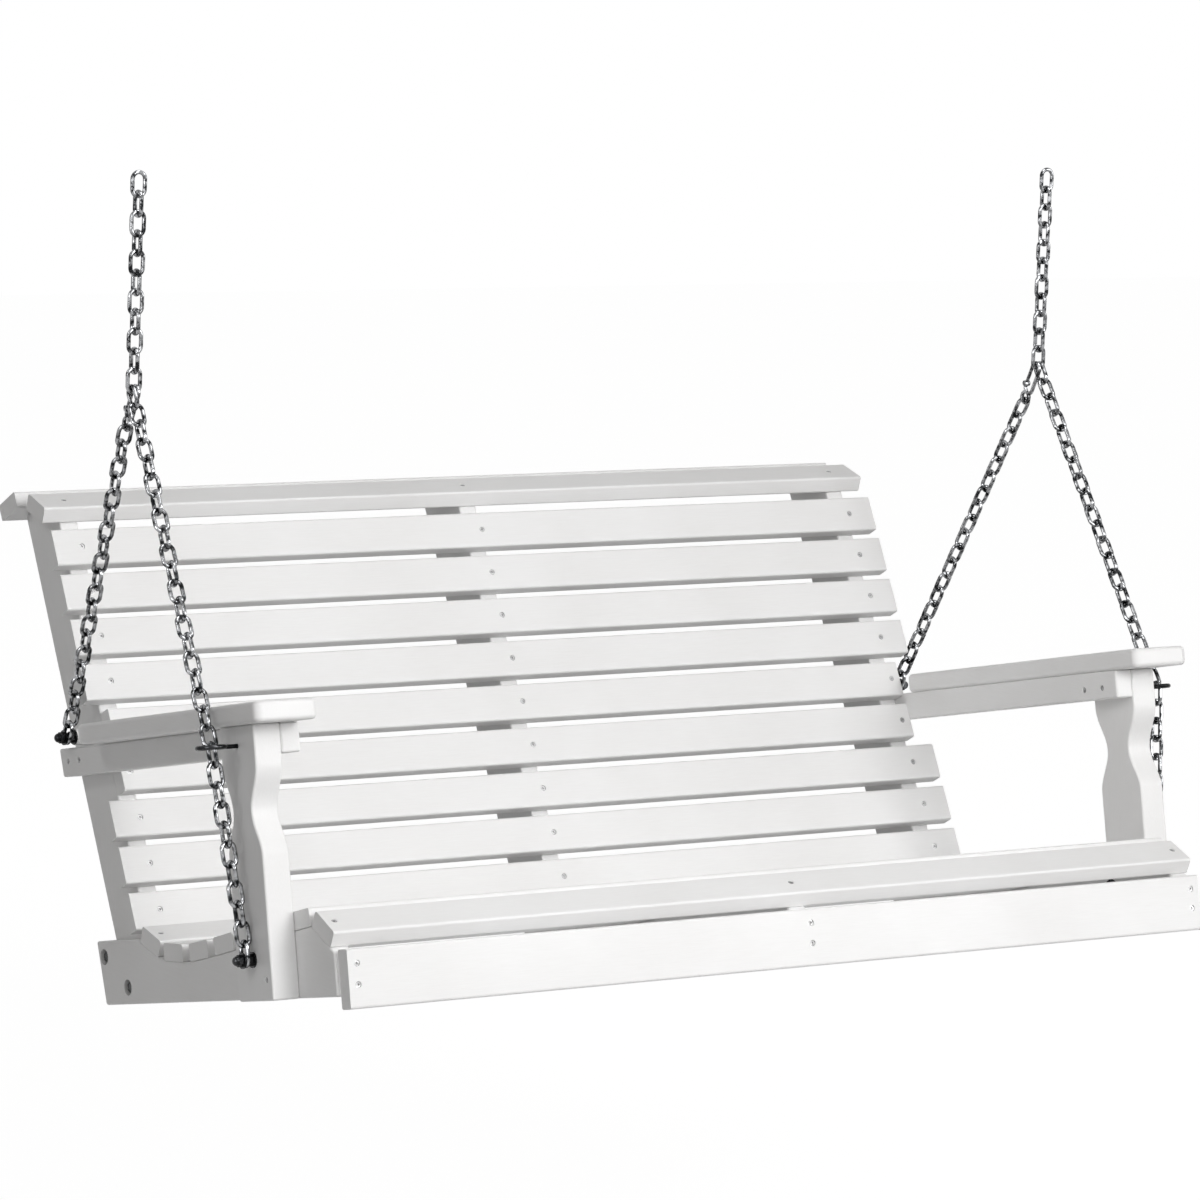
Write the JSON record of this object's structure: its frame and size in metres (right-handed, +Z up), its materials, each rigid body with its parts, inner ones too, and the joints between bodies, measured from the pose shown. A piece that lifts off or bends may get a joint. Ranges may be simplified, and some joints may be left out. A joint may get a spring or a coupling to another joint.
{
  "type": "porch swing seat",
  "caption": "Slatted white plastic-lumber porch swing seat with a reclined back, flat armrests and two V-branched hanging chains.",
  "frame": {"origin": "midway between the two hang loops, at the top inside surface of the top links' bends", "axes": "+X along the seat to the piece called right, +Y to the rear, +Z up"},
  "size_m": [1.506, 0.9805, 1.1038],
  "materials": {
    "poly_board": "satin",
    "stainless": "satin",
    "zinc_steel": "polished"
  },
  "bodies": {
    "hang_links": {"top_link_left": "zinc_steel", "top_link_right": "zinc_steel"},
    "upper_chains": {"second_link_left": "zinc_steel", "second_link_right": "zinc_steel", "upper_chain_left": "zinc_steel", "upper_chain_right": "zinc_steel", "junction_link_left": "zinc_steel", "junction_link_right": "zinc_steel"},
    "seat": {"back_slat_1": "poly_board", "back_slat_2": "poly_board", "back_slat_3": "poly_board", "back_slat_4": "poly_board", "back_slat_5": "poly_board", "back_slat_6": "poly_board", "back_slat_7": "poly_board", "back_slat_8": "poly_board", "back_slat_9": "poly_board", "seat_slat_1": "poly_board", "seat_slat_2": "poly_board", "seat_slat_3": "poly_board", "seat_slat_4": "poly_board", "seat_slat_5": "poly_board", "seat_slat_6": "poly_board", "seat_slat_7": "poly_board", "seat_slat_8": "poly_board", "cap_slat": "poly_board", "roll_slat": "poly_board", "apron_board": "poly_board", "stringer_left": "poly_board", "stringer_right": "poly_board", "stringer_centre": "poly_board", "back_support_left": "poly_board", "back_support_right": "poly_board", "back_support_centre": "poly_board", "post_left": "poly_board", "post_right": "poly_board", "arm_rail_left": "poly_board", "arm_rail_right": "poly_board", "armrest_left": "poly_board", "armrest_right": "poly_board", "anchor_spacers": "poly_board", "back_screws": "stainless", "seat_screws": "stainless", "apron_screws": "stainless", "arm_screws": "stainless", "frame_bolts": "zinc_steel", "frame_nuts": "zinc_steel", "anchor_bolts": "zinc_steel", "anchor_washers": "zinc_steel", "anchor_nuts": "zinc_steel", "guide_eye_left": "zinc_steel", "guide_eye_right": "zinc_steel", "front_chain_left": "zinc_steel", "front_chain_right": "zinc_steel", "rear_chain_left": "zinc_steel", "rear_chain_right": "zinc_steel", "snap_hook_left": "zinc_steel", "snap_hook_right": "zinc_steel"},
    "gate_left": {"snap_gate_left": "zinc_steel"},
    "gate_right": {"snap_gate_right": "zinc_steel"}
  },
  "joints": [
    {"name": "swing", "type": "hinge", "parent": "hang_links", "child": "upper_chains", "pos_m": [0, 0, -0.02765], "axis": [1, 0, 0], "range_deg": [-35, 35]},
    {"name": "tip", "type": "hinge", "parent": "upper_chains", "child": "seat", "pos_m": [0, 0, -0.27565], "axis": [1, 0, 0], "range_deg": [-12, 12]},
    {"name": "gate_left", "type": "hinge", "parent": "seat", "child": "gate_left", "pos_m": [-0.7071, 0.02077, -0.29844], "axis": [1, 0, 0], "range_deg": [0, 22], "stiffness_Nm_per_rad": 0.02},
    {"name": "gate_right", "type": "hinge", "parent": "seat", "child": "gate_right", "pos_m": [0.7071, 0.02077, -0.29844], "axis": [1, 0, 0], "range_deg": [0, 22], "stiffness_Nm_per_rad": 0.02}
  ]
}
